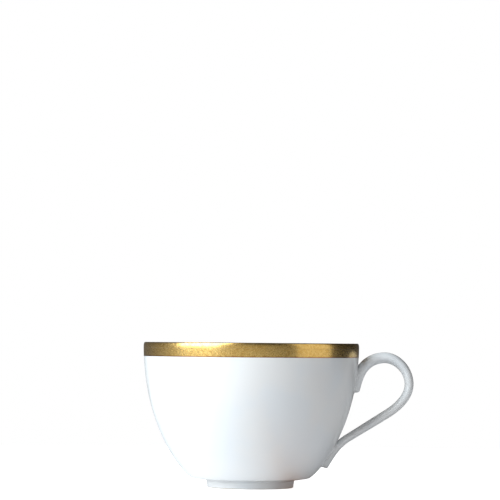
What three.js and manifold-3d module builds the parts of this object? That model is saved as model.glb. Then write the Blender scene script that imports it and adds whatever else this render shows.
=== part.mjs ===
// A porcelain teacup with a matt gold rim band and a looped strap handle.
//
// Millimetres, +Z up. The cup stands on z = 0 and its handle points along +X. The origin is on the
// table, under the middle of the whole outline, handle included.
//
// Everything round is drawn as a half section: the first number is the distance from the cup's axis
// and the second is the height. The handle is drawn in the same plane and swept along its centreline.

import * as THREE from 'three';
import { mergeVertices } from 'three/addons/utils/BufferGeometryUtils.js';
import Module from 'manifold-3d';

const wasm = await Module();
wasm.setup();

// ---------------------------------------------------------------- driving dimensions

// Bowl: the outside of the wall is one curve from the lip, where it is upright, down to the knee,
// where it leans out and meets the underside.
const rimRadius = 46.0;
const cupHeight = 61.6;
const lipThickness = 2.6;
const heelThickness = 4.2;
const lipOuterRound = 0.95;
const lipInnerRound = 1.25;
const shoulderPull = 31.5;
const kneeRadius = 25.2;
const kneeHeight = 4.1;
const kneeLean = 56.5;
const kneePull = 8.0;
const kneeRound = 1.2;
const floorThickness = 3.2;
const floorBlendStation = 0.86; // how far down the wall its inside starts to turn into the floor

// Underside and foot ring
const seatHeight = 3.2;
const recessRise = 0.5;
const footTopRadius = 18.7;
const footTaper = 0.3;
const footWidth = 3.4;
const footDraft = 0.3;
const footOuterRound = 0.5;
const footInnerRound = 0.8;
const seatMargin = 0.25;

// Slip (liquid clay) layers, and the gap left on each side of them
const footSlipThickness = 0.25;
const footSlipGap = 0.02;
const padSlipThickness = 0.35;
const padSlipGap = 0.1;

// Gilding, flush with the glaze in a shallow rebate
const goldThickness = 0.12;
const goldGap = 0.02;
const bandWidth = 6.05;
const insideGoldWidth = 2.2;

// Handle centreline. Heights with "Drop" are measured down from the lip and "Reach" is measured out
// from the rim radius. A "Pull" is how far the curve keeps its direction on leaving a station.
const upperPadDrop = 20.7;
const upperPadStandoff = 0.7;
const upperPadPull = 6.0;
const shoulderDrop = 9.4;
const shoulderReach = 2.6;
const shoulderSlope = 48;
const shoulderLowerPull = 3.6;
const shoulderUpperPull = 2.9;
const crownDrop = 5.9;
const crownReach = 11.0;
const crownInnerPull = 3.2;
const crownOuterPull = 5.5;
const loopReach = 21.5;
const loopDrop = 17.1;
const loopUpperPull = 5.8;
const loopLowerPull = 4.6;
const bendReach = 11.7;
const bendDrop = 30.1;
const bendPull = 7.6;
const lowerRootHeight = 21.15;
const lowerRootStandoff = 3.5;
const lowerRootPull = 5.0;
const lowerPadHeight = 9.3;
const lowerPadStandoff = 0.9;
const lowerPadSlope = 60;
const lowerPadPull = 5.0;

// Handle section at its stations, from the upper pad's end to the lower pad's end
const upperPadSize = { thickness: 3.0, width: 6.0 };
const shoulderSize = { thickness: 4.7, width: 8.4 };
const crownSize = { thickness: 4.6, width: 7.6 };
const loopSize = { thickness: 3.8, width: 6.8 };
const bendSize = { thickness: 3.7, width: 6.6 };
const lowerRootSize = { thickness: 3.35, width: 7.4 };
const lowerPadSize = { thickness: 3.4, width: 5.8 };
const padEndRound = 1.1;
const sectionSquareness = 2.5;

// Smoothness
const turns = 56;
const wallSteps = 15;
const insideSteps = 11;
const floorSteps = 5;
const arcSteps = 2;
const recessSteps = 4;
const handleSides = 14;
const handleStep = 1.8;
const padEndSteps = 4;

// ---------------------------------------------------------------- materials

const porcelain = new THREE.MeshStandardMaterial({ color: 0xf3f5f7, roughness: 0.15, metalness: 0 });
const firedSlip = new THREE.MeshStandardMaterial({ color: 0xe9e8e4, roughness: 0.4, metalness: 0 });
const mattGold = new THREE.MeshStandardMaterial({ color: 0xb08d3e, roughness: 0.38, metalness: 1 });

// ---------------------------------------------------------------- outline helpers

const point = (r, z) => new THREE.Vector2(r, z);
const radians = THREE.MathUtils.degToRad;
const heading = (degrees) => point(Math.cos(radians(degrees)), Math.sin(radians(degrees)));
const moved = (from, direction, distance) => from.clone().addScaledVector(direction, distance);

// Points of a round corner from one angle to another, in degrees.
function arc(centre, radius, from, to, steps) {
  return new THREE.EllipseCurve(
    centre.x, centre.y, radius, radius, radians(from), radians(to), to < from,
  ).getPoints(steps);
}

// The stations of a curve from one parameter to another.
function stations(from, to, steps) {
  return Array.from({ length: steps + 1 }, (_, i) => THREE.MathUtils.lerp(from, to, i / steps));
}

// ---------------------------------------------------------------- the wall's curve

const lipStart = point(rimRadius, cupHeight - lipOuterRound);
const knee = point(kneeRadius, kneeHeight);
const kneeDirection = heading(90 - kneeLean);
const wallCurve = new THREE.CubicBezierCurve(
  lipStart,
  moved(lipStart, heading(-90), shoulderPull),
  moved(knee, kneeDirection, kneePull),
  knee,
);

// The wall's direction at a station, heading down towards the knee.
const wallDirection = (t) => wallCurve.getTangent(t);

// A point of the outside surface, moved out square to the wall (or in, for a negative distance).
function wallPoint(t, out) {
  const down = wallDirection(t);
  return moved(wallCurve.getPoint(t), point(-down.y, down.x), out);
}

// The station at which the outside surface is at a height.
function wallStation(height) {
  let low = 0;
  let high = 1;
  for (let i = 0; i < 40; i++) {
    const middle = (low + high) / 2;
    if (wallCurve.getPoint(middle).y > height) low = middle;
    else high = middle;
  }
  return low;
}

const wallThickness = (t) => THREE.MathUtils.lerp(lipThickness, heelThickness, t);
const bandStation = wallStation(cupHeight - bandWidth);
const insideGoldStation = wallStation(cupHeight - insideGoldWidth);
const heelStation = 1 - kneeRound / wallCurve.getLength();
const rebate = goldThickness + goldGap;
const goldEdgeGap = goldGap / cupHeight;

// The lip's outline, moved in by a depth, from a station on the inside over to the outside wall.
function lipOutline(depth, insideEdge) {
  const innerCentre = point(rimRadius - lipThickness + lipInnerRound, cupHeight - lipInnerRound);
  const outerCentre = point(rimRadius - lipOuterRound, cupHeight - lipOuterRound);
  return [
    wallPoint(insideEdge, depth - wallThickness(insideEdge)),
    ...arc(innerCentre, lipInnerRound - depth, 180, 90, arcSteps),
    ...arc(outerCentre, lipOuterRound - depth, 90, 0, arcSteps),
  ];
}

// ---------------------------------------------------------------- solids

// A solid of revolution from a half section listed anticlockwise, seen with the axis on the left.
function revolved(outline) {
  return new THREE.LatheGeometry(outline, turns).rotateX(Math.PI / 2);
}

// A ring-shaped solid from a half section listed clockwise, which this closes on itself.
function ring(outline) {
  const loop = outline.slice().reverse();
  return revolved([...loop, loop[0].clone()]);
}

function asSolid(geometry) {
  const bare = geometry.clone();
  bare.deleteAttribute('normal');
  bare.deleteAttribute('uv');
  const merged = mergeVertices(bare, 1e-4);
  return new wasm.Manifold(new wasm.Mesh({
    numProp: 3,
    vertProperties: merged.getAttribute('position').array,
    triVerts: new Uint32Array(merged.getIndex().array),
  }));
}

function asGeometry(solid) {
  const mesh = solid.getMesh();
  const geometry = new THREE.BufferGeometry();
  geometry.setAttribute('position', new THREE.BufferAttribute(mesh.vertProperties, 3));
  geometry.setIndex(new THREE.BufferAttribute(mesh.triVerts, 1));
  geometry.computeVertexNormals();
  return geometry;
}

// ---------------------------------------------------------------- bowl

// The inside: the wall's offset comes down to where its tangent can turn smoothly into a flat floor.
function insideOutline() {
  const floorHeight = seatHeight + recessRise + floorThickness;
  const blendStart = wallPoint(floorBlendStation, -wallThickness(floorBlendStation));
  const down = wallDirection(floorBlendStation);
  const reach = (blendStart.y - floorHeight) / -down.y;
  const corner = moved(blendStart, down, reach);
  const blend = new THREE.QuadraticBezierCurve(
    blendStart, corner, point(corner.x - reach, floorHeight),
  );
  const wall = stations(insideGoldStation, floorBlendStation, insideSteps).slice(0, -1)
    .map((t) => wallPoint(t, -wallThickness(t)));
  return [...wall, ...blend.getPoints(floorSteps), point(0, floorHeight)];
}

// The underside: an eased knee, a shallow slope in to the foot's seat, and a domed recess.
function undersideOutline() {
  const seatEdge = point(footTopRadius + seatMargin, seatHeight);
  const slope = seatEdge.clone().sub(knee).normalize();
  const easedKnee = new THREE.QuadraticBezierCurve(
    wallPoint(heelStation, 0), knee, moved(knee, slope, kneeRound),
  );
  const recessEdge = footTopRadius - footWidth - seatMargin;
  const dome = new THREE.QuadraticBezierCurve(
    point(recessEdge, seatHeight),
    point(recessEdge / 2, seatHeight + recessRise),
    point(0, seatHeight + recessRise),
  );
  return [...easedKnee.getPoints(arcSteps + 1), seatEdge, ...dome.getPoints(recessSteps)];
}

function bowl() {
  const outside = stations(bandStation, heelStation, wallSteps).slice(0, -1);
  const rebated = stations(0, bandStation, arcSteps).slice(1);
  return revolved([
    ...insideOutline().reverse(),
    ...lipOutline(rebate, insideGoldStation),
    ...rebated.map((t) => wallPoint(t, -rebate)),
    ...outside.map((t) => wallPoint(t, 0)),
    ...undersideOutline(),
  ].reverse());
}

// ---------------------------------------------------------------- foot ring and its slip layer

function footRing() {
  const top = seatHeight - footSlipThickness - 2 * footSlipGap;
  const soleOuter = footTopRadius - footTaper;
  const soleInner = soleOuter - footWidth + footDraft;
  return ring([
    point(footTopRadius - footWidth, top),
    point(footTopRadius, top),
    ...arc(point(soleOuter - footOuterRound, footOuterRound), footOuterRound, 0, -90, arcSteps),
    ...arc(point(soleInner + footInnerRound, footInnerRound), footInnerRound, -90, -180, arcSteps),
  ]);
}

function footSlipJoint() {
  const top = seatHeight - footSlipGap;
  const inner = footTopRadius - footWidth + seatMargin / 2;
  const outer = footTopRadius - seatMargin / 2;
  return ring([
    point(inner, top),
    point(outer, top),
    point(outer, top - footSlipThickness),
    point(inner, top - footSlipThickness),
  ]);
}

// ---------------------------------------------------------------- gilding

function goldBand() {
  const steps = stations(goldEdgeGap, bandStation - goldEdgeGap, arcSteps);
  return ring([
    ...steps.map((t) => wallPoint(t, 0)),
    ...steps.reverse().map((t) => wallPoint(t, -goldThickness)),
  ]);
}

function goldLip() {
  const insideEdge = insideGoldStation - goldEdgeGap;
  return ring([...lipOutline(0, insideEdge), ...lipOutline(goldThickness, insideEdge).reverse()]);
}

// ---------------------------------------------------------------- handle

// A place on the centreline, its direction of travel, and how far the curve keeps that direction
// before and after it.
const station = (place, direction, before, after) => ({ place, direction, before, after });

function handleStations() {
  const upperEnd = wallStation(cupHeight - upperPadDrop);
  const lowerEnd = wallStation(lowerPadHeight);
  const lowerWall = wallCurve.getPoint(wallStation(lowerRootHeight));
  const bend = point(rimRadius + bendReach, cupHeight - bendDrop);
  const lowerRoot = point(lowerWall.x + lowerRootStandoff, lowerRootHeight);
  const strap = lowerRoot.clone().sub(bend).normalize();
  const up = wallDirection(upperEnd).negate();
  return [
    station(wallPoint(upperEnd, upperPadStandoff), up, 0, upperPadPull),
    station(
      point(rimRadius + shoulderReach, cupHeight - shoulderDrop),
      heading(shoulderSlope), shoulderLowerPull, shoulderUpperPull,
    ),
    station(
      point(rimRadius + crownReach, cupHeight - crownDrop), heading(0), crownInnerPull, crownOuterPull,
    ),
    station(
      point(rimRadius + loopReach, cupHeight - loopDrop), heading(-90), loopUpperPull, loopLowerPull,
    ),
    station(bend, strap, bendPull, bendPull),
    station(lowerRoot, strap, lowerRootPull, lowerRootPull),
    station(wallPoint(lowerEnd, lowerPadStandoff), heading(180 + lowerPadSlope), lowerPadPull, 0),
  ];
}

function handleCentreline() {
  const places = handleStations();
  const path = new THREE.CurvePath();
  for (let i = 1; i < places.length; i++) {
    const from = places[i - 1];
    const to = places[i];
    path.add(new THREE.CubicBezierCurve(
      from.place,
      moved(from.place, from.direction, from.after),
      moved(to.place, to.direction, -to.before),
      to.place,
    ));
  }
  return path;
}

// The section's size at a distance along the centreline, eased from station to station.
function handleSizeAt(distance, lengths) {
  const sizes = [
    upperPadSize, shoulderSize, crownSize, loopSize, bendSize, lowerRootSize, lowerPadSize,
  ];
  const next = Math.max(1, Math.min(lengths.findIndex((l) => l >= distance), lengths.length - 1));
  const share = THREE.MathUtils.smoothstep(distance, lengths[next - 1], lengths[next]);
  const mix = (key) => THREE.MathUtils.lerp(sizes[next - 1][key], sizes[next][key], share);
  return { thickness: mix('thickness'), width: mix('width') };
}

// Distances along the centreline: even steps, closer where the two ends are rounded off.
function handleStops(total) {
  const end = stations(0, 90, padEndSteps).slice(1).map((a) => padEndRound * (1 - Math.cos(radians(a))));
  const middleSteps = Math.round((total - 2 * padEndRound) / handleStep);
  const middle = stations(padEndRound, total - padEndRound, middleSteps).slice(1, -1);
  return [...end, ...middle, ...end.map((d) => total - d).reverse()];
}

// A round-cornered section swept along the centreline, closed to a point at both ends.
function handleBar() {
  const path = handleCentreline();
  const lengths = [0, ...path.getCurveLengths()];
  const total = lengths[lengths.length - 1];
  const positions = [];
  const faces = [];
  const put = (place, y) => positions.push(place.x, y, place.y);
  const cornered = (v) => Math.sign(v) * Math.abs(v) ** (2 / sectionSquareness);
  put(path.getPoint(0), 0);
  const stops = handleStops(total);
  stops.forEach((distance, row) => {
    const place = path.getPoint(distance / total);
    const along = path.getTangent(distance / total);
    const across = point(-along.y, along.x);
    const fromEnd = Math.min(distance, total - distance, padEndRound) / padEndRound;
    const round = Math.sqrt(1 - (1 - fromEnd) ** 2);
    const size = handleSizeAt(distance, lengths);
    for (let side = 0; side < handleSides; side++) {
      const turn = (2 * Math.PI * side) / handleSides;
      const out = cornered(Math.cos(turn)) * round * size.thickness / 2;
      put(moved(place, across, out), cornered(Math.sin(turn)) * round * size.width / 2);
      const here = 1 + row * handleSides + side;
      const beside = 1 + row * handleSides + ((side + 1) % handleSides);
      if (row === 0) faces.push(0, here, beside);
      else faces.push(here - handleSides, here, beside, here - handleSides, beside, beside - handleSides);
    }
  });
  put(path.getPoint(1), 0);
  const last = 1 + stops.length * handleSides;
  for (let side = 0; side < handleSides; side++) {
    faces.push(last, last - handleSides + ((side + 1) % handleSides), last - handleSides + side);
  }
  const geometry = new THREE.BufferGeometry();
  geometry.setAttribute('position', new THREE.Float32BufferAttribute(positions, 3));
  geometry.setIndex(faces);
  return geometry;
}

// The wall's outside grown by a distance, as one plug to cut with.
function grownWall(distance) {
  const outline = stations(0, 1, wallSteps * 2).map((t) => wallPoint(t, distance));
  const top = outline[0];
  const bottom = outline[outline.length - 1];
  return asSolid(revolved([point(0, top.y), ...outline, point(0, bottom.y)].reverse()));
}

// The handle stops short of the wall, and a slip layer of each pad's own shape fills between them.
function handleParts() {
  const bar = asSolid(handleBar());
  const slipOuter = padSlipGap + padSlipThickness;
  const layers = bar.intersect(grownWall(slipOuter)).subtract(grownWall(padSlipGap)).decompose();
  layers.sort((a, b) => b.boundingBox().max[2] - a.boundingBox().max[2]);
  return {
    handle: asGeometry(bar.subtract(grownWall(slipOuter + padSlipGap))),
    upperSlip: asGeometry(layers[0]),
    lowerSlip: asGeometry(layers[1]),
  };
}

// ---------------------------------------------------------------- assembly

function named(name, geometry, material) {
  const mesh = new THREE.Mesh(geometry, material);
  mesh.name = name;
  return mesh;
}

const { handle, upperSlip, lowerSlip } = handleParts();
const handleReach = loopReach + loopSize.thickness / 2;

const teacup = new THREE.Group();
teacup.name = 'teacup';
teacup.position.x = -handleReach / 2;
teacup.add(
  named('bowl', bowl(), porcelain),
  named('foot_ring', footRing(), porcelain),
  named('foot_slip_joint', footSlipJoint(), firedSlip),
  named('handle', handle, porcelain),
  named('upper_slip_joint', upperSlip, firedSlip),
  named('lower_slip_joint', lowerSlip, firedSlip),
  named('gold_band', goldBand(), mattGold),
  named('gold_lip', goldLip(), mattGold),
);

export default teacup;
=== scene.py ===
# A porcelain teacup with a matt gold rim band and a looped strap handle, on a lit white table.
#
# Metres, +Z up. The cup stands on z = 0 and its handle points along +X. Everything round is drawn
# as a half section of (distance from the cup's axis, height), and the handle in the same plane.

import math

import bpy
import numpy as np
from mathutils import Matrix, Vector


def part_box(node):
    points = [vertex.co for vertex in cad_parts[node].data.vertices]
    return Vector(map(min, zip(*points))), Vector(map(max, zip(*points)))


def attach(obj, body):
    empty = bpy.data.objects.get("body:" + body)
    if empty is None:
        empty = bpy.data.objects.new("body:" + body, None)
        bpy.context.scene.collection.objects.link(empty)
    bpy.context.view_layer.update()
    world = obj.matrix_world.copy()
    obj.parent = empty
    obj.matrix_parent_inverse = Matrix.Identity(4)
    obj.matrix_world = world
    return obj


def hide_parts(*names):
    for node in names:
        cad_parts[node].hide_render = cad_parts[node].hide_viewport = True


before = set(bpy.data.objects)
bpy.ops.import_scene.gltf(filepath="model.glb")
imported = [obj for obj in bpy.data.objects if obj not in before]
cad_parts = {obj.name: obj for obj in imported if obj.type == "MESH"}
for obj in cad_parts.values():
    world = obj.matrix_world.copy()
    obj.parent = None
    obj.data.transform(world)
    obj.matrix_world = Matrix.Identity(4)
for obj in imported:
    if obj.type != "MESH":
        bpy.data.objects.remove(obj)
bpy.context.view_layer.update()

# ---------------------------------------------------------------- sizes

# From the frame: the cup's axis, its rim and its foot
band_low, band_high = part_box("gold_band")
lip_low, lip_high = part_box("gold_lip")
foot_low, foot_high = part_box("foot_ring")
AXIS_X = (band_low.x + band_high.x) / 2
RIM_RADIUS = (band_high.y - band_low.y) / 2
CUP_HEIGHT = lip_high.z
BAND_BOTTOM = band_low.z
GOLD_INSIDE_BOTTOM = lip_low.z
FOOT_RADIUS = (foot_high.y - foot_low.y) / 2
FOOT_TOP = foot_high.z

# Bowl wall. The lip's outside is rounded over its ROUND across and its FALL down. A squareness of
# 2 is an ellipse, and more is squarer
LIP_THICKNESS = 0.0026
HEEL_THICKNESS = 0.0042
LIP_OUTER_ROUND = 0.00095
LIP_OUTER_FALL = 0.0024
LIP_OUTER_SQUARENESS = 3.2
LIP_INNER_ROUND = 0.00125
SHOULDER_PULL = 0.0315
KNEE_RADIUS = 0.0252
KNEE_HEIGHT = 0.0041
KNEE_LEAN = math.radians(56.5)
KNEE_PULL = 0.0080
KNEE_ROUND = 0.0012
FLOOR_THICKNESS = 0.0032
FLOOR_BLEND_STATION = 0.86

# Underside and foot ring
SEAT_HEIGHT = 0.0032
RECESS_RISE = 0.0005
FOOT_TAPER = 0.0003
FOOT_WIDTH = 0.0034
FOOT_DRAFT = 0.0003
FOOT_OUTER_ROUND = 0.0005
FOOT_INNER_ROUND = 0.0008
SEAT_MARGIN = 0.00025
FOOT_BEAD = 0.0007

# Clear space between touching pieces, the slip under the handle's pads and its rounded edge
HAIRLINE = 0.00002
PAD_SLIP = 0.00040
PAD_FILLET = 0.0011

# Gilding: it stands a hair proud of the glaze
GOLD_PROUD = 0.00003
GOLD_DEPTH = 0.00009

# Handle centreline: places measured from the lip and the rim radius, and how far the curve keeps
# its direction on each side of them
UPPER_PAD_DROP, UPPER_PAD_STANDOFF, UPPER_PAD_PULL = 0.0207, 0.0007, 0.0060
SHOULDER_DROP, SHOULDER_REACH, SHOULDER_SLOPE = 0.0094, 0.0026, math.radians(48)
SHOULDER_LOWER_PULL, SHOULDER_UPPER_PULL = 0.0036, 0.0029
CROWN_DROP, CROWN_REACH = 0.0059, 0.0110
CROWN_INNER_PULL, CROWN_OUTER_PULL = 0.0032, 0.0055
LOOP_REACH, LOOP_DROP = 0.0215, 0.0171
LOOP_UPPER_PULL, LOOP_LOWER_PULL = 0.0058, 0.0046
BEND_REACH, BEND_DROP, BEND_PULL = 0.0117, 0.0301, 0.0076
LOWER_ROOT_HEIGHT, LOWER_ROOT_STANDOFF, LOWER_ROOT_PULL = 0.02115, 0.0035, 0.0050
LOWER_PAD_HEIGHT, LOWER_PAD_STANDOFF, LOWER_PAD_PULL = 0.0093, 0.0009, 0.0050
LOWER_PAD_SLOPE = math.radians(60)

# Handle section (thickness, width) at its stations, from the upper pad's end to the lower pad's.
# A squareness of 2 is an ellipse
SECTIONS = (
    (0.00300, 0.0060),
    (0.00470, 0.0084),
    (0.00460, 0.0076),
    (0.00380, 0.0068),
    (0.00370, 0.0066),
    (0.00335, 0.0074),
    (0.00340, 0.0058),
)
PAD_END_ROUND = 0.0011
SQUARENESS = 2.05

# Smoothness
TURNS = 240
WALL_STEPS = 72
FLOOR_STEPS = 16
ARC_STEPS = 8
HANDLE_SIDES = 88
HANDLE_STEP = 0.00045
END_STEPS = 9
CURVE_SAMPLES = 240
CUTTER_REFINEMENT = 2
BISECTIONS = 40
SHARP_ABOVE = math.radians(40)
THIRDS = (0.33, 0.66)
NO_LENGTH = 1e-6

# ---------------------------------------------------------------- outlines


def point(r, z):
    return Vector((r, z))


def heading(angle):
    return point(math.cos(angle), math.sin(angle))


def evenly(start, end, steps):
    return [start + (end - start) * i / steps for i in range(steps + 1)]


def smoothstep(x):
    x = min(max(x, 0.0), 1.0)
    return x * x * (3 - 2 * x)


def arc(centre, radius, start, end, steps=ARC_STEPS):
    """Points of a round corner between two angles in degrees."""
    return [centre + radius * heading(math.radians(a)) for a in evenly(start, end, steps)]


def bezier(points, t):
    """A point of the Bezier curve with these control points."""
    points = list(points)
    while len(points) > 1:
        points = [a.lerp(b, t) for a, b in zip(points, points[1:])]
    return points[0]


def bezier_direction(points, t):
    return bezier([b - a for a, b in zip(points, points[1:])], t).normalized()


LIP_START = point(RIM_RADIUS, CUP_HEIGHT - LIP_OUTER_ROUND)
KNEE = point(KNEE_RADIUS, KNEE_HEIGHT)
WALL = (
    LIP_START,
    LIP_START - point(0, SHOULDER_PULL),
    KNEE + KNEE_PULL * heading(math.pi / 2 - KNEE_LEAN),
    KNEE,
)
HEEL_STATION = 1 - KNEE_ROUND / (KNEE - LIP_START).length
HAIRLINE_STATION = HAIRLINE / CUP_HEIGHT


def wall_point(t, out=0.0):
    """A point of the wall's outside, moved out square to it."""
    down = bezier_direction(WALL, t)
    return bezier(WALL, t) + out * point(-down.y, down.x)


def wall_thickness(t):
    return LIP_THICKNESS + (HEEL_THICKNESS - LIP_THICKNESS) * t


def inside_point(t, out=0.0):
    """A point of the wall's inside, moved towards the wall's outside."""
    return wall_point(t, out - wall_thickness(t))


def station_at(height, place_at):
    """How far down the wall's curve the place for that station is at a height."""
    low, high = 0.0, 1.0
    for _ in range(BISECTIONS):
        middle = (low + high) / 2
        if place_at(middle).y > height:
            low = middle
        else:
            high = middle
    return low


def wall_station(height):
    """How far down the wall's curve its outside is at a height."""
    return station_at(height, lambda t: bezier(WALL, t))


BAND_TOP_STATION = wall_station(CUP_HEIGHT - LIP_OUTER_FALL)
BAND_STATION = wall_station(BAND_BOTTOM)
INSIDE_GOLD_STATION = station_at(GOLD_INSIDE_BOTTOM, inside_point)


def lip_outline(depth):
    """The lip's outline, moved in by a depth, from its inside over to the outside."""
    inner = point(RIM_RADIUS - LIP_THICKNESS + LIP_INNER_ROUND, CUP_HEIGHT - LIP_INNER_ROUND)
    outer = point(RIM_RADIUS - LIP_OUTER_ROUND, CUP_HEIGHT - LIP_OUTER_FALL)
    across, fall = LIP_OUTER_ROUND - depth, LIP_OUTER_FALL - depth
    power = 2 / LIP_OUTER_SQUARENESS
    shoulder = []
    for angle in evenly(math.pi / 2, 0, 4 * ARC_STEPS):
        out, up = max(math.cos(angle), 0) ** power, math.sin(angle) ** power
        shoulder.append(outer + point(across * out, fall * up))
    return arc(inner, LIP_INNER_ROUND - depth, 180, 90) + shoulder


# ---------------------------------------------------------------- meshes


def make_object(name, vertices, faces):
    """A smooth mesh object that keeps its sharp edges."""
    mesh = bpy.data.meshes.new(name)
    mesh.from_pydata([tuple(v) for v in vertices], [], faces)
    mesh.update()
    mesh.shade_smooth()
    mesh.set_sharp_from_angle(angle=SHARP_ABOVE)
    made = bpy.data.objects.new(name, mesh)
    bpy.context.scene.collection.objects.link(made)
    return made


def revolve(name, outline, closed=False, turns=TURNS):
    """A solid of revolution about the cup's axis. The outline runs clockwise, seen with the axis on
    its left: closed on itself, or with both ends on the axis."""
    rows = outline if closed else outline[1:-1]
    angles = [2 * math.pi * i / turns for i in range(turns)]
    vertices = [
        (AXIS_X + p.x * math.cos(a), p.x * math.sin(a), p.y) for p in rows for a in angles
    ]
    faces = []
    count = len(rows)
    for row in range(count if closed else count - 1):
        above, below = row * turns, (row + 1) % count * turns
        for i in range(turns):
            j = (i + 1) % turns
            faces.append((above + i, below + i, below + j, above + j))
    if not closed:
        first = len(vertices)
        vertices += [(AXIS_X, 0, outline[0].y), (AXIS_X, 0, outline[-1].y)]
        last = (count - 1) * turns
        for i in range(turns):
            j = (i + 1) % turns
            faces.append((first, i, j))
            faces.append((first + 1, last + j, last + i))
    return make_object(name, vertices, faces)


# ---------------------------------------------------------------- bowl, foot and gilding


def inside_outline():
    """From the middle of the floor up the inside of the wall to the gilding's edge."""
    floor = SEAT_HEIGHT + RECESS_RISE + FLOOR_THICKNESS
    start = inside_point(FLOOR_BLEND_STATION)
    down = bezier_direction(WALL, FLOOR_BLEND_STATION)
    reach = (start.y - floor) / -down.y
    corner = start + reach * down
    blend = (start, corner, point(corner.x - reach, floor))
    flat = [point(r, floor) for r in evenly(0, blend[2].x, FLOOR_STEPS)[:-1]]
    rise = [bezier(blend, t) for t in evenly(1, 0, FLOOR_STEPS)]
    wall = evenly(FLOOR_BLEND_STATION, INSIDE_GOLD_STATION, WALL_STEPS)[1:]
    return flat + rise + [inside_point(t) for t in wall]


def underside_outline():
    """The eased knee, the slope in to the foot's seat, and the domed recess inside the foot."""
    seat_edge = point(FOOT_RADIUS + SEAT_MARGIN, SEAT_HEIGHT)
    slope = (seat_edge - KNEE).normalized()
    eased = (wall_point(HEEL_STATION), KNEE, KNEE + KNEE_ROUND * slope)
    recess = FOOT_RADIUS - FOOT_WIDTH - SEAT_MARGIN
    dome_height = SEAT_HEIGHT + RECESS_RISE
    dome = (point(recess, SEAT_HEIGHT), point(recess / 2, dome_height), point(0, dome_height))
    return (
        [bezier(eased, t) for t in evenly(0, 1, ARC_STEPS)]
        + [eased[2].lerp(seat_edge, share) for share in (*THIRDS, 1)]
        + [bezier(dome, t) for t in evenly(0, 1, FLOOR_STEPS)]
    )


def make_bowl():
    """The glaze stops in a shallow rebate under the gilding."""
    rebate = GOLD_DEPTH + HAIRLINE
    under_band = evenly(BAND_TOP_STATION, BAND_STATION, ARC_STEPS)[1:]
    gilded = [wall_point(t, -rebate) for t in under_band]
    outside = [wall_point(t) for t in evenly(BAND_STATION, HEEL_STATION, WALL_STEPS)[:-1]]
    outline = inside_outline() + lip_outline(rebate) + gilded + outside + underside_outline()
    return revolve("bowl_glazed", outline)


def make_foot_ring():
    top = FOOT_TOP
    sole_outer = FOOT_RADIUS - FOOT_TAPER
    sole_inner = sole_outer - FOOT_WIDTH + FOOT_DRAFT
    outer = point(sole_outer - FOOT_OUTER_ROUND, FOOT_OUTER_ROUND)
    inner = point(sole_inner + FOOT_INNER_ROUND, FOOT_INNER_ROUND)
    side = arc(outer, FOOT_OUTER_ROUND, 0, -90)
    inside = arc(inner, FOOT_INNER_ROUND, -90, -180)
    outline = [point(FOOT_RADIUS - FOOT_WIDTH, top), point(FOOT_RADIUS, top)]
    outline += [outline[1].lerp(side[0], share) for share in THIRDS]
    outline += side + inside
    outline += [inside[-1].lerp(outline[0], share) for share in THIRDS]
    return revolve("foot_ring_glazed", outline, closed=True)


def make_foot_slip():
    """The slip layer over the foot ring, with a smoothed bead in the corner on either side."""
    outer = FOOT_RADIUS + HAIRLINE
    inner = FOOT_RADIUS - FOOT_WIDTH - HAIRLINE
    ceiling = SEAT_HEIGHT - HAIRLINE
    layer = FOOT_TOP + HAIRLINE
    slope = (KNEE_HEIGHT - SEAT_HEIGHT) / (KNEE_RADIUS - FOOT_RADIUS - SEAT_MARGIN)
    outer_top = point(outer + FOOT_BEAD, ceiling + slope * (FOOT_BEAD - SEAT_MARGIN))
    outer_bead = (outer_top, point(outer, ceiling), point(outer, ceiling - FOOT_BEAD))
    inner_bead = (
        point(inner, ceiling - FOOT_BEAD), point(inner, ceiling), point(inner - FOOT_BEAD, ceiling),
    )
    outline = [bezier(outer_bead, t) for t in evenly(0, 1, ARC_STEPS)]
    outline += [point(outer, layer), point(inner, layer)]
    outline += [bezier(inner_bead, t) for t in evenly(0, 1, ARC_STEPS)]
    outline += [point(FOOT_RADIUS - FOOT_WIDTH, ceiling), point(FOOT_RADIUS + SEAT_MARGIN, ceiling)]
    return revolve("foot_slip_bead", outline, closed=True)


def make_gold_band():
    """Its lower edge is a thin rounded line standing on the glaze."""
    edge = BAND_STATION - HAIRLINE_STATION
    down = evenly(BAND_TOP_STATION + HAIRLINE_STATION, edge, ARC_STEPS)
    outline = [wall_point(t, GOLD_PROUD) for t in down]
    outline += [wall_point(edge + HAIRLINE_STATION)]
    outline += [wall_point(t, -GOLD_DEPTH) for t in reversed(down)]
    return revolve("gold_band_fired", outline, closed=True)


def make_gold_lip():
    """Known fault: inside the cup both ends are offset the wrong way, so the gold dips under the
    glaze there and its two skins cross."""
    hollow_side = inside_point(INSIDE_GOLD_STATION, -GOLD_DEPTH)
    wall_side = inside_point(INSIDE_GOLD_STATION, GOLD_PROUD)
    outline = [hollow_side.lerp(wall_side, 2)] + lip_outline(-GOLD_PROUD)
    outline += [*reversed(lip_outline(GOLD_DEPTH)), wall_side]
    return revolve("gold_lip_fired", outline, closed=True)


# ---------------------------------------------------------------- handle


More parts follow.
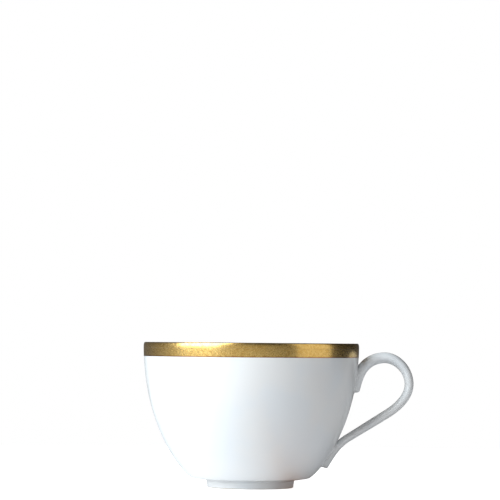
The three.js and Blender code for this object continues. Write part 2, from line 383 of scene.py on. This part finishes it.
def handle_stations():
    """(place, direction, pull before, pull after) from the upper pad's end to the lower pad's."""
    upper_end = wall_station(CUP_HEIGHT - UPPER_PAD_DROP)
    lower_end = wall_station(LOWER_PAD_HEIGHT)
    lower_wall = bezier(WALL, wall_station(LOWER_ROOT_HEIGHT))
    bend = point(RIM_RADIUS + BEND_REACH, CUP_HEIGHT - BEND_DROP)
    lower_root = point(lower_wall.x + LOWER_ROOT_STANDOFF, LOWER_ROOT_HEIGHT)
    strap = (lower_root - bend).normalized()
    up = -bezier_direction(WALL, upper_end)
    shoulder = point(RIM_RADIUS + SHOULDER_REACH, CUP_HEIGHT - SHOULDER_DROP)
    crown = point(RIM_RADIUS + CROWN_REACH, CUP_HEIGHT - CROWN_DROP)
    loop = point(RIM_RADIUS + LOOP_REACH, CUP_HEIGHT - LOOP_DROP)
    return (
        (wall_point(upper_end, UPPER_PAD_STANDOFF), up, 0, UPPER_PAD_PULL),
        (shoulder, heading(SHOULDER_SLOPE), SHOULDER_LOWER_PULL, SHOULDER_UPPER_PULL),
        (crown, heading(0), CROWN_INNER_PULL, CROWN_OUTER_PULL),
        (loop, heading(-math.pi / 2), LOOP_UPPER_PULL, LOOP_LOWER_PULL),
        (bend, strap, BEND_PULL, BEND_PULL),
        (lower_root, strap, LOWER_ROOT_PULL, LOWER_ROOT_PULL),
        (
            wall_point(lower_end, LOWER_PAD_STANDOFF),
            heading(math.pi + LOWER_PAD_SLOPE),
            LOWER_PAD_PULL,
            0,
        ),
    )


class Centreline:
    """The handle's middle line, followed by distance."""

    def __init__(self):
        stations = handle_stations()
        places, directions, self.lengths = [], [], [0.0]
        for (start, leaving, _, after), (end, arriving, before, _) in zip(stations, stations[1:]):
            curve = (start, start + after * leaving, end - before * arriving, end)
            steps = evenly(0, 1, CURVE_SAMPLES)
            some = [bezier(curve, t) for t in steps]
            length = sum((b - a).length for a, b in zip(some, some[1:]))
            self.lengths.append(self.lengths[-1] + length)
            fresh = 1 if places else 0
            places += some[fresh:]
            directions += [bezier_direction(curve, t) for t in steps[fresh:]]
        self.places = np.array(places)
        self.directions = np.array(directions)
        gaps = np.linalg.norm(np.diff(self.places, axis=0), axis=1)
        self.distances = np.concatenate([[0.0], np.cumsum(gaps)])
        self.total = float(self.distances[-1])

    def at(self, distance):
        """The place and the direction at a distance along the line."""

        def read(rows):
            return point(*(float(np.interp(distance, self.distances, rows[:, k])) for k in (0, 1)))

        return read(self.places), read(self.directions).normalized()

    def section_at(self, distance):
        """(thickness, width), eased from station to station."""
        last = len(self.lengths) - 1
        upto = next((i for i in range(1, last) if self.lengths[i] >= distance), last)
        before, after = self.lengths[upto - 1], self.lengths[upto]
        share = smoothstep((distance - before) / (after - before))
        return [a + (b - a) * share for a, b in zip(SECTIONS[upto - 1], SECTIONS[upto])]


def handle_stops(total):
    """Distances along the centreline, closer where the two ends are rounded off."""
    angles = evenly(0, math.pi / 2, END_STEPS)[1:]
    end = [PAD_END_ROUND * (1 - math.cos(a)) for a in angles]
    middle = evenly(PAD_END_ROUND, total - PAD_END_ROUND, round(total / HANDLE_STEP))[1:-1]
    return end + middle + [total - d for d in reversed(end)]


def cornered(value):
    """A cosine or sine, pushed out so that a circle becomes a round-cornered block."""
    return math.copysign(abs(value) ** (2 / SQUARENESS), value)


def make_bar():
    """The handle's section swept along its centreline and closed to a point at both ends."""
    line = Centreline()
    vertices, faces = [], []

    def put(place, y):
        vertices.append((AXIS_X + place.x, y, place.y))

    put(line.at(0)[0], 0)
    stops = handle_stops(line.total)
    for row, distance in enumerate(stops):
        place, along = line.at(distance)
        across = point(-along.y, along.x)
        from_end = min(distance, line.total - distance, PAD_END_ROUND) / PAD_END_ROUND
        rounding = math.sqrt(1 - (1 - from_end) ** 2)
        thickness, width = line.section_at(distance)
        for side in range(HANDLE_SIDES):
            turn = 2 * math.pi * side / HANDLE_SIDES
            out = cornered(math.cos(turn)) * rounding * thickness / 2
            put(place + out * across, cornered(math.sin(turn)) * rounding * width / 2)
            here = 1 + row * HANDLE_SIDES + side
            beside = 1 + row * HANDLE_SIDES + (side + 1) % HANDLE_SIDES
            if row == 0:
                faces.append((0, here, beside))
            else:
                faces.append((here - HANDLE_SIDES, here, beside, beside - HANDLE_SIDES))
    put(line.at(line.total)[0], 0)
    last = len(vertices) - 1
    ring = last - HANDLE_SIDES
    for side in range(HANDLE_SIDES):
        faces.append((last, ring + (side + 1) % HANDLE_SIDES, ring + side))
    return make_object("handle_bar", vertices, faces)


def flare_at_wall(bar):
    """Spreads the bar's skin along the wall where it comes near, as a rounded corner of glaze."""
    normals = [v.normal.copy() for v in bar.data.vertices]
    for vertex, normal in zip(bar.data.vertices, normals):
        radial = Vector((vertex.co.x - AXIS_X, vertex.co.y, 0))
        station = wall_station(min(vertex.co.z, LIP_START.y))
        down = bezier_direction(WALL, station)
        outward = radial.normalized() * -down.y
        outward.z = down.x
        clearance = (radial.length - bezier(WALL, station).x) * -down.y
        if clearance > PAD_FILLET:
            continue
        sideways = normal - normal.dot(outward) * outward
        if sideways.length < NO_LENGTH:
            continue
        near = max(clearance, 0.0)
        spread = PAD_FILLET - math.sqrt(PAD_FILLET**2 - (PAD_FILLET - near) ** 2)
        vertex.co += spread * sideways.length * sideways.normalized()


def grown_wall(distance):
    """The outside of the wall, grown by a distance, as a closed block to cut with."""
    steps = evenly(0, 1, WALL_STEPS * CUTTER_REFINEMENT)
    outline = [wall_point(t, distance) for t in steps]
    ends = [point(0, outline[0].y), point(0, outline[-1].y)]
    return revolve("cutter", [ends[0], *outline, ends[1]], turns=TURNS * CUTTER_REFINEMENT)


def cut(target, operation, tool):
    """A boolean of two objects, applied to the target's own mesh."""
    modifier = target.modifiers.new("cut", "BOOLEAN")
    modifier.operation = operation
    modifier.solver = "EXACT"
    modifier.object = tool
    bpy.context.view_layer.update()
    depsgraph = bpy.context.evaluated_depsgraph_get()
    made = bpy.data.meshes.new_from_object(target.evaluated_get(depsgraph))
    target.modifiers.clear()
    target.data = made


def loose_parts(source, names):
    """Splits a mesh into its unconnected parts, highest first, one new object for each name."""
    mesh = source.data
    group = list(range(len(mesh.vertices)))

    def root(i):
        while group[i] != i:
            group[i] = group[group[i]]
            i = group[i]
        return i

    for edge in mesh.edges:
        a, b = (root(v) for v in edge.vertices)
        group[a] = b
    members = {}
    for vertex in mesh.vertices:
        members.setdefault(root(vertex.index), []).append(vertex.index)
    parts = sorted(members.values(), key=len, reverse=True)[: len(names)]
    parts.sort(key=lambda part: -max(mesh.vertices[i].co.z for i in part))
    made = []
    for name, part in zip(names, parts):
        index = {old: new for new, old in enumerate(part)}
        vertices = [mesh.vertices[i].co for i in part]
        faces = [
            [index[i] for i in face.vertices] for face in mesh.polygons if face.vertices[0] in index
        ]
        made.append(make_object(name, vertices, faces))
    return made


def copy_of(source, name):
    made = source.copy()
    made.data = source.data.copy()
    made.name = name
    bpy.context.scene.collection.objects.link(made)
    return made


def make_handle():
    """The handle stops short of the wall. A slip layer of each pad's own shape fills the gap."""
    bar = make_bar()
    flare_at_wall(bar)
    layers = copy_of(bar, "layers")
    cutters = [grown_wall(d) for d in (HAIRLINE, PAD_SLIP, PAD_SLIP + HAIRLINE)]
    cut(layers, "INTERSECT", cutters[1])
    cut(layers, "DIFFERENCE", cutters[0])
    cut(bar, "DIFFERENCE", cutters[2])
    handle = loose_parts(bar, ["handle_glazed"])
    slips = loose_parts(layers, ["upper_slip_fillet", "lower_slip_fillet"])
    for scrap in (bar, layers, *cutters):
        bpy.data.objects.remove(scrap)
    return handle + slips


# ---------------------------------------------------------------- materials


class Nodes:
    """Short ways to add nodes to a node tree."""

    def __init__(self, tree):
        self.tree = tree

    def add(self, kind, sockets=(), **settings):
        node = self.tree.nodes.new(kind)
        for key, value in settings.items():
            setattr(node, key, value)
        for key, value in dict(sockets).items():
            self.give(node.inputs[key], value)
        return node

    def give(self, socket, value):
        if isinstance(value, bpy.types.NodeSocket):
            self.tree.links.new(value, socket)
        else:
            socket.default_value = value

    def ramp(self, value, start, end, low, high, smooth=True):
        """A value taken from start..end to low..high, and held there outside it."""
        sockets = {
            "Value": value, "From Min": start, "From Max": end, "To Min": low, "To Max": high,
        }
        kind = "SMOOTHSTEP" if smooth else "LINEAR"
        node = self.add("ShaderNodeMapRange", sockets, interpolation_type=kind)
        return node.outputs["Result"]

    def math(self, operation, first, second):
        return self.add("ShaderNodeMath", {0: first, 1: second}, operation=operation).outputs[0]

    def camera_ray(self):
        """1 for what the camera sees directly, and 0 for light on its way to something else."""
        return self.add("ShaderNodeLightPath").outputs["Is Camera Ray"]


class Material(Nodes):
    """A Principled material, and short ways to add nodes to it."""

    def __init__(self, name):
        self.material = bpy.data.materials.new(name)
        self.material.use_nodes = True
        super().__init__(self.material.node_tree)
        self.shader = self.tree.nodes["Principled BSDF"]
        self.place = self.add("ShaderNodeTexCoord").outputs["Object"]

    def set(self, **sockets):
        for key, value in sockets.items():
            self.give(self.shader.inputs[key.replace("_", " ").title()], value)

    def show(self, surface):
        """Makes another shader the material's surface. It isn't sampled as a lamp."""
        self.give(self.tree.nodes["Material Output"].inputs["Surface"], surface)
        self.material.cycles.emission_sampling = "NONE"

    def noise(self, size, detail=3.0, roughness=0.55):
        """Cloudy noise with features about this size, from 0 to 1."""
        sockets = {
            "Vector": self.place, "Scale": 1 / size, "Detail": detail, "Roughness": roughness,
        }
        return self.add("ShaderNodeTexNoise", sockets).outputs["Fac"]

    def mix(self, share, first, second):
        """A colour between two others."""
        node = self.add("ShaderNodeMix", data_type="RGBA")
        colours = [s for s in node.inputs if s.type == "RGBA"]
        self.give(node.inputs[0], share)
        self.give(colours[0], first)
        self.give(colours[1], second)
        return next(s for s in node.outputs if s.type == "RGBA")

    def height(self):
        """How high the surface is above the table."""
        return self.add("ShaderNodeSeparateXYZ", {0: self.place}).outputs["Z"]

    def bump(self, value, depth, onto=None):
        """A bump of this depth in metres, laid over an earlier one."""
        sockets = {"Height": value, "Distance": depth, "Strength": 1.0}
        if onto is not None:
            sockets["Normal"] = onto
        return self.add("ShaderNodeBump", sockets).outputs["Normal"]


def srgb(red, green, blue):
    """A linear colour from display values of 0 to 255."""
    def linear(c):
        c /= 255
        return c / 12.92 if c <= 0.04045 else ((c + 0.055) / 1.055) ** 2.4
    return linear(red), linear(green), linear(blue), 1.0


# The part of a noise's range that a ramp spreads out: most of it, or its middle
BROAD = (0.30, 0.70)
MIDDLE = (0.35, 0.65)

# Glazed porcelain: patch sizes, ripple depths and the roughness range
WHITE_BODY = srgb(240, 241, 241)
COOL_BODY = srgb(236, 240, 243)
BODY_CLOUD = 0.022
GLAZE_IOR = 1.52
GLOSS_PATCH = 0.0090
GLAZE_ROUGHNESS = (0.17, 0.23)
SLOW_RIPPLE, SLOW_RIPPLE_DEPTH = 0.0075, 0.000014
FINE_RIPPLE, FINE_RIPPLE_DEPTH = 0.0022, 0.0000008

# Bare sole: the heights between which the glaze begins, and how far that edge wavers
BARE_BODY = srgb(226, 219, 208)
SCUFF = srgb(176, 170, 162)
GLAZE_EDGE = (0.00022, 0.00034)
GLAZE_EDGE_PATCH, GLAZE_EDGE_WAVER = 0.0030, 0.00009
SCUFF_GRAIN, SCUFF_RANGE, SCUFF_SHARE = 0.00035, (0.55, 0.72), 0.55
BARE_ROUGHNESS = 0.62

# Gold: its mottle, slow clouds and fine grain, the redder lower edge and the rubbed lip
GOLD_DEEP, GOLD_PALE = srgb(222, 176, 84), srgb(242, 204, 118)
GOLD_CLOUDED = srgb(232, 194, 112)
GOLD_MOTTLE, MOTTLE_ROUGHNESS, MOTTLE_RANGE = 0.0011, 0.68, (0.36, 0.64)
GOLD_CLOUD, GOLD_CLOUD_SHARE, GOLD_CLOUD_DEPTH = 0.0085, 0.5, 0.000004
GOLD_GRAIN, GRAIN_ROUGHNESS, GRAIN_DEPTH = 0.00014, 0.6, 0.0000003
GOLD_ROUGHNESS = (0.13, 0.36)
GOLD_WAVER_PATCH, GOLD_WAVER = 0.0022, 0.00012
RED_EDGE, RED_EDGE_START, RED_EDGE_END = srgb(176, 112, 44), 0.00015, 0.00060
RUBBED, RUBBED_DEPTH, RUBBED_SHARE = srgb(244, 220, 168), 0.00045, 0.45
RUBBED_RANGE = (0.42, 0.62)
COAT_WEIGHT, COAT_ROUGHNESS = 0.8, 0.34


def glazed(name):
    """A material of white porcelain, a shade cooler in slow clouds, under a clear hard glaze with a
    faint ripple. Its colour comes with it."""
    material = Material(name)
    clouds = material.noise(BODY_CLOUD, detail=2)
    colour = material.mix(material.ramp(clouds, *MIDDLE, 0, 1), WHITE_BODY, COOL_BODY)
    patches = material.noise(GLOSS_PATCH, detail=2)
    ripple = material.bump(material.noise(SLOW_RIPPLE, detail=1), SLOW_RIPPLE_DEPTH)
    ripple = material.bump(material.noise(FINE_RIPPLE, detail=1), FINE_RIPPLE_DEPTH, onto=ripple)
    material.set(
        base_color=colour,
        roughness=material.ramp(patches, *BROAD, *GLAZE_ROUGHNESS),
        normal=ripple,
    )
    material.shader.inputs["IOR"].default_value = GLAZE_IOR
    return material, colour


def porcelain():
    material, _ = glazed("glazed_porcelain")
    return material.material


def footed_porcelain():
    """Glazed porcelain, wiped bare and sanded on the sole, with a wavering edge of glaze."""
    material, colour = glazed("foot_porcelain")
    waver = material.ramp(
        material.noise(GLAZE_EDGE_PATCH), *BROAD, -GLAZE_EDGE_WAVER, GLAZE_EDGE_WAVER,
    )
    level = material.math("ADD", material.height(), waver)
    covered = material.ramp(level, *GLAZE_EDGE, 0, 1)
    grains = material.ramp(material.noise(SCUFF_GRAIN, detail=5), *SCUFF_RANGE, 0, SCUFF_SHARE)
    bare = material.mix(grains, BARE_BODY, SCUFF)
    gloss = material.shader.inputs["Roughness"].links[0].from_socket
    dullness = material.ramp(covered, 0, 1, BARE_ROUGHNESS, 0, smooth=False)
    material.set(
        base_color=material.mix(covered, bare, colour),
        roughness=material.math("ADD", dullness, gloss),
    )
    return material.material


def gold():
    """Matt fired gold: satin, mottled, redder along its lower edge and rubbed on the lip, under a
    thin clear coat."""
    material = Material("matt_gold")
    mottle = material.noise(GOLD_MOTTLE, detail=6, roughness=MOTTLE_ROUGHNESS)
    clouds = material.noise(GOLD_CLOUD, detail=2)
    grain = material.noise(GOLD_GRAIN, detail=2, roughness=GRAIN_ROUGHNESS)
    mottled = material.mix(material.ramp(mottle, *MOTTLE_RANGE, 0, 1), GOLD_DEEP, GOLD_PALE)
    clouded = material.ramp(clouds, *MIDDLE, 0, GOLD_CLOUD_SHARE)
    body = material.mix(clouded, mottled, GOLD_CLOUDED)
    waver = material.ramp(material.noise(GOLD_WAVER_PATCH), *BROAD, -GOLD_WAVER, GOLD_WAVER)
    level = material.math("ADD", material.height(), waver)
    at_edge = material.ramp(
        level, BAND_BOTTOM + RED_EDGE_START, BAND_BOTTOM + RED_EDGE_END, 1, 0,
    )
    edged = material.mix(at_edge, body, RED_EDGE)
    at_lip = material.ramp(level, CUP_HEIGHT - RUBBED_DEPTH, CUP_HEIGHT, 0, RUBBED_SHARE)
    worn = material.math("MULTIPLY", at_lip, material.ramp(mottle, *RUBBED_RANGE, 0, 1))
    relief = material.bump(clouds, GOLD_CLOUD_DEPTH)
    material.set(
        base_color=material.mix(worn, edged, RUBBED),
        metallic=1.0,
        roughness=material.ramp(grain, *BROAD, *GOLD_ROUGHNESS),
        normal=material.bump(grain, GRAIN_DEPTH, onto=relief),
        coat_weight=COAT_WEIGHT,
        coat_roughness=COAT_ROUGHNESS,
    )
    return material.material


# ---------------------------------------------------------------- studio

# Camera
EYE_DISTANCE = 1.150
FOCAL_LENGTH = 193.59
EYE_PITCH = math.radians(1.977)
EYE_YAW = math.radians(0.047)
EYE_ROLL = math.radians(0.49)
NEAREST_SEEN, FARTHEST_SEEN = 0.01, 20

# Table: its glow to the camera, and the weaker light that it throws on the cup. That light fades
# from a near to a far distance, in foot radii. In a strip beside the foot on the handle's side it
# is
# painted darker and warmer (TABLE_SHADE): a painted shade that darkens the foot's far side
WHITE = (1.0, 1.0, 1.0, 1.0)
TABLE_RADIUS = 0.45
TABLE_RINGS = (0.25, 0.5, 0.75, 1)
TABLE_COLOURS = srgb(242, 242, 242), srgb(238, 239, 240)
TABLE_CLOUD, TABLE_ROUGHNESS = 0.20, (0.60, 0.70)
TABLE_GLOW = 0.90
TABLE_BOUNCE = (0.76, 0.76, 0.77, 1.0)
TABLE_NEAR, TABLE_FAR = 2, 5
TABLE_NEAR_GLOW, TABLE_FAR_GLOW = 0.10, 0.03
TABLE_SHADE = (0.66, 0.47, 0.37, 1.0)
SHADE_START, SHADE_FULL, SHADE_END = 0.5, 1, 1.6

# Room: each is (start, end, low, high) along one axis of the direction, or towards the window
WINDOW_DIRECTION = (-0.21, -0.98, 0)
ROOM_WINDOW = (0, 1, 0, 0.54)
ROOM_SIDEWAYS = (-1, 1, 0.33, 0.01)
ROOM_BEHIND = (0, 0.8, 1, 0.5)
ROOM_OVERHEAD = (0, 0.6, 1, 0.2)

AIM = Vector((AXIS_X, 0, CUP_HEIGHT / 2))


def make_camera():
    camera = bpy.data.objects.new("camera", bpy.data.cameras.new("camera"))
    bpy.context.scene.collection.objects.link(camera)
    camera.data.lens = FOCAL_LENGTH
    camera.data.clip_start = NEAREST_SEEN
    camera.data.clip_end = FARTHEST_SEEN
    turn = (
        Matrix.Rotation(EYE_YAW, 4, "Z")
        @ Matrix.Rotation(math.pi / 2 + EYE_PITCH, 4, "X")
        @ Matrix.Rotation(EYE_ROLL, 4, "Z")
    )
    camera.matrix_world = Matrix.Translation((AXIS_X, -EYE_DISTANCE, CUP_HEIGHT)) @ turn
    bpy.context.scene.camera = camera


def aim(piece, azimuth, elevation, distance):
    """Puts a lamp or panel facing the cup, out of the camera's sight. Azimuth is in degrees to the
    right of the camera's side."""
    bpy.context.scene.collection.objects.link(piece)
    turn, rise = math.radians(azimuth), math.radians(elevation)
    away = Vector((
        math.sin(turn) * math.cos(rise), -math.cos(turn) * math.cos(rise), math.sin(rise),
    ))
    piece.location = AIM + distance * away
    piece.rotation_euler = away.to_track_quat("Z", "Y").to_euler()
    piece.visible_camera = False


def make_softbox(name, azimuth, elevation, distance, size, radiance, colour):
    """The rectangular lamp that lights the cup and casts its shadows."""
    light = bpy.data.lights.new(name, "AREA")
    light.shape = "RECTANGLE"
    light.size, light.size_y = size
    light.energy = radiance * math.pi * light.size * light.size_y
    light.color = colour
    aim(bpy.data.objects.new(name, light), azimuth, elevation, distance)


def make_panel(name, azimuth, elevation, distance, size, radiance, colour):
    """A dimly glowing rectangle, which makes less noise than a lamp as weak as this."""
    width, height = size
    corners = [(-width / 2, -height / 2, 0), (width / 2, -height / 2, 0)]
    corners += [(width / 2, height / 2, 0), (-width / 2, height / 2, 0)]
    mesh = bpy.data.meshes.new(name)
    mesh.from_pydata(corners, [], [(0, 1, 2, 3)])
    panel = bpy.data.objects.new(name, mesh)
    material = Material(name)
    glow = material.add("ShaderNodeEmission", {"Color": (*colour, 1.0), "Strength": radiance})
    material.show(glow.outputs[0])
    mesh.materials.append(material.material)
    aim(panel, azimuth, elevation, distance)


def make_table():
    """A round sheet of white acrylic, lit from below as product tables are."""
    rings = [point(TABLE_RADIUS * share, -HAIRLINE) for share in TABLE_RINGS]
    angles = [2 * math.pi * i / TURNS for i in range(TURNS)]
    vertices = [(AXIS_X, 0, -HAIRLINE)]
    faces = []
    for row, p in enumerate(rings):
        vertices += [(AXIS_X + p.x * math.cos(a), p.x * math.sin(a), p.y) for a in angles]
        for i in range(TURNS):
            j = (i + 1) % TURNS
            here, before = 1 + row * TURNS, 1 + (row - 1) * TURNS
            if row == 0:
                faces.append((0, here + i, here + j))
            else:
                faces.append((before + i, here + i, here + j, before + j))
    table = make_object("table", vertices, faces)
    table.data.materials.append(lit_acrylic())


def lit_acrylic():
    """White acrylic that looks lit to the camera, and lights the cup less than that."""
    material = Material("lit_acrylic")
    cloud = material.noise(TABLE_CLOUD, detail=2)
    material.set(
        base_color=material.mix(cloud, *TABLE_COLOURS),
        roughness=material.ramp(cloud, *BROAD, *TABLE_ROUGHNESS),
        emission_color=WHITE,
        emission_strength=TABLE_GLOW,
    )
    sideways = material.add("ShaderNodeSeparateXYZ", {0: material.place}).outputs["X"]
    outward = material.add(
        "ShaderNodeVectorMath", {0: material.place, 1: (AXIS_X, 0, 0)}, operation="DISTANCE",
    ).outputs["Value"]
    near, far = FOOT_RADIUS * TABLE_NEAR, FOOT_RADIUS * TABLE_FAR
    glow = material.ramp(outward, near, far, TABLE_NEAR_GLOW, TABLE_FAR_GLOW)
    # Painted shade: in a strip beside the foot on the handle's side, the table's bounce and glow
    # are darker and warmer
    start, full, end = (
        AXIS_X + share * FOOT_RADIUS for share in (SHADE_START, SHADE_FULL, SHADE_END)
    )
    entering = material.ramp(sideways, start, full, 0, 1)
    leaving = material.ramp(sideways, full, end, 1, 0)
    shaded = material.math("MULTIPLY", entering, leaving)
    bounce = material.mix(shaded, TABLE_BOUNCE, TABLE_SHADE)
    scattered = material.add("ShaderNodeBsdfDiffuse", {"Color": bounce}).outputs[0]
    tint = material.mix(shaded, WHITE, TABLE_SHADE)
    glowing = material.add("ShaderNodeEmission", {"Color": tint, "Strength": glow}).outputs[0]
    dimmed = material.add("ShaderNodeAddShader", {0: scattered, 1: glowing}).outputs[0]
    lit = material.shader.outputs[0]
    either = material.add("ShaderNodeMixShader", {0: material.camera_ray(), 1: dimmed, 2: lit})
    material.show(either.outputs[0])
    return material.material


def make_surroundings():
    """A white backdrop to the camera, and to the cup a dim room: brighter to the left and behind
    the camera, darker to the right and overhead."""
    world = bpy.data.worlds.new("studio")
    bpy.context.scene.world = world
    world.use_nodes = True
    world.cycles.sampling_method = "NONE"
    nodes = Nodes(world.node_tree)
    toward = nodes.add("ShaderNodeTexCoord").outputs["Generated"]
    axes = nodes.add("ShaderNodeSeparateXYZ", {0: toward}).outputs
    window = nodes.add(
        "ShaderNodeVectorMath", {0: toward, 1: WINDOW_DIRECTION}, operation="DOT_PRODUCT",
    ).outputs["Value"]
    ahead = nodes.ramp(window, *ROOM_WINDOW, smooth=False)
    sideways = nodes.ramp(axes["X"], *ROOM_SIDEWAYS, smooth=False)
    behind = nodes.ramp(axes["Y"], *ROOM_BEHIND, smooth=False)
    overhead = nodes.ramp(axes["Z"], *ROOM_OVERHEAD, smooth=False)
    sides = nodes.math("ADD", nodes.math("MULTIPLY", ahead, ahead), sideways)
    room = nodes.math("MULTIPLY", nodes.math("MULTIPLY", sides, behind), overhead)
    strength = nodes.add("ShaderNodeMix", {0: nodes.camera_ray(), 2: room, 3: 1.0}).outputs[0]
    background = world.node_tree.nodes["Background"]
    nodes.give(background.inputs["Strength"], strength)
    nodes.give(background.inputs["Color"], WHITE)


def make_lights():
    make_softbox(
        "key_softbox", azimuth=-57.5, elevation=31, distance=0.80,
        size=(0.70, 0.78), radiance=6.3, colour=(0.91, 0.965, 1.0),
    )
    make_panel(
        "side_panel", azimuth=69.2, elevation=14, distance=0.60,
        size=(0.48, 0.70), radiance=0.86, colour=(1.0, 0.98, 0.97),
    )
    make_panel(
        "back_panel", azimuth=180, elevation=40, distance=0.90,
        size=(0.60, 0.30), radiance=0.8, colour=(1.0, 1.0, 1.0),
    )


# ---------------------------------------------------------------- assembly


def finish_piece(piece, material, node):
    piece.data.materials.append(material)
    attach(piece, "root")
    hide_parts(node)


def build():
    white, footed, gilt = porcelain(), footed_porcelain(), gold()
    handle, upper_slip, lower_slip = make_handle()
    finish_piece(make_bowl(), white, "bowl")
    finish_piece(make_foot_ring(), footed, "foot_ring")
    finish_piece(make_foot_slip(), white, "foot_slip_joint")
    finish_piece(handle, white, "handle")
    finish_piece(upper_slip, white, "upper_slip_joint")
    finish_piece(lower_slip, white, "lower_slip_joint")
    finish_piece(make_gold_band(), gilt, "gold_band")
    finish_piece(make_gold_lip(), gilt, "gold_lip")
    make_camera()
    make_table()
    make_surroundings()
    make_lights()
    bpy.context.scene.view_settings.view_transform = "Standard"


build()
